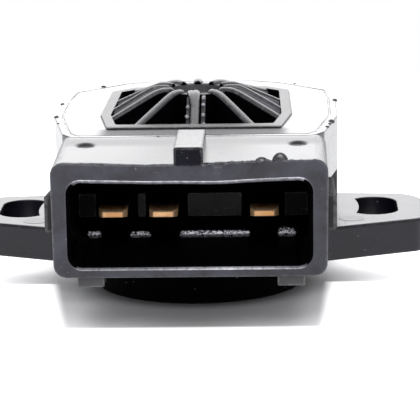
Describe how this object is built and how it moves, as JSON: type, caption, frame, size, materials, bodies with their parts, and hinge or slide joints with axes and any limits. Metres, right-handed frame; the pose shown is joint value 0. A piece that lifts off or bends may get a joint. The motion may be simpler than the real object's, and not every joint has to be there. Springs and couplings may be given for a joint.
{
  "type": "throttle position sensor",
  "caption": "Rotary throttle position sensor with a ribbed octagonal cover, a blade plug socket, slotted ears and a pilot collar around a turning drive socket.",
  "frame": {"origin": "on the rotor axis, in the plane of the seat face (the undersides of the ears and the case)", "axes": "+Z away from the throttle body through the ribbed cover, -Y out of the plug socket, X along the line of the two ears"},
  "size_m": [0.0476, 0.0461, 0.0211],
  "materials": {
    "case_plastic": "glass-filled black moulding, half gloss",
    "bond": "black bonding bead",
    "terminal_copper": "copper alloy, stamped, dulled",
    "solder": "solder, bright",
    "board": "glass-fibre laminate",
    "silver_print": "silver paste, matt",
    "carbon_print": "carbon paste",
    "rotor_plastic": "natural acetal",
    "spring_alloy": "precious-metal spring alloy",
    "spring_steel": "bright spring steel",
    "rubber": "matt rubber"
  },
  "bodies": {
    "case": {"housing": "case_plastic", "cover": "case_plastic", "cover_seal": "bond", "terminal_1": "terminal_copper", "terminal_2": "terminal_copper", "terminal_3": "terminal_copper", "solder_joint_1": "solder", "solder_joint_2": "solder", "solder_joint_3": "solder", "track_board": "board", "contact_pads": "silver_print", "resistive_track": "carbon_print", "collector_track": "silver_print", "shaft_seal": "rubber", "thrust_washer": "spring_steel"},
    "rotor": {"rotor": "rotor_plastic", "wiper_carrier": "rotor_plastic", "wiper": "spring_alloy", "wiper_rivets": "spring_alloy", "drive_spring": "spring_steel", "retaining_clip": "spring_steel"}
  },
  "joints": [
    {"name": "rotor_turn", "type": "hinge", "parent": "case", "child": "rotor", "pos_m": [0, 0, 0], "axis": [0, 0, 1], "range_deg": [0, 95]}
  ]
}
